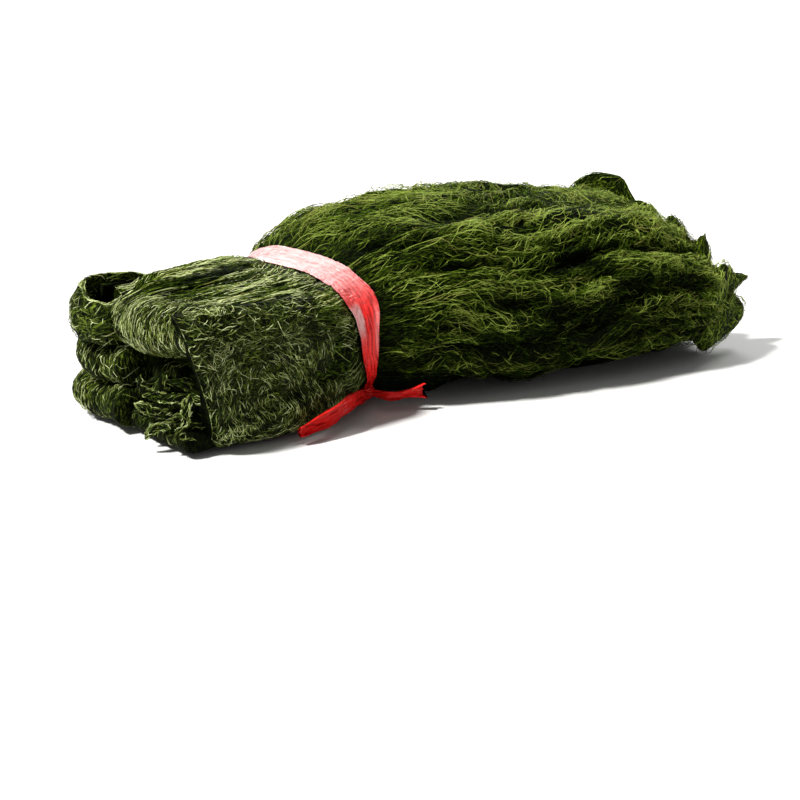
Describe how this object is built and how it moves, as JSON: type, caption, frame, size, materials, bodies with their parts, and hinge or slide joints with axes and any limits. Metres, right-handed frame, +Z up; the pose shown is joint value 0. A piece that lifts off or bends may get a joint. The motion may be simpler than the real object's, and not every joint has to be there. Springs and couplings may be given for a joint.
{
  "type": "tied bundle of dried seaweed",
  "caption": "Dried green string seaweed folded over into felted layers at one end, loose and ragged at the other, tied round with a knotted red film ribbon.",
  "frame": {"origin": "middle of the footprint of the whole, on the surface that it rests on", "axes": "+X along the bundle from the folded end to the loose end, +Z up, -Y towards the side with the knot"},
  "size_m": [0.4336, 0.2004, 0.1157],
  "materials": {
    "seaweed": "matt felted fibre",
    "ribbon": "shiny crumpled film"
  },
  "bodies": {
    "root": {"seaweed_hank": "seaweed", "ribbon_tie": "ribbon"}
  },
  "joints": []
}
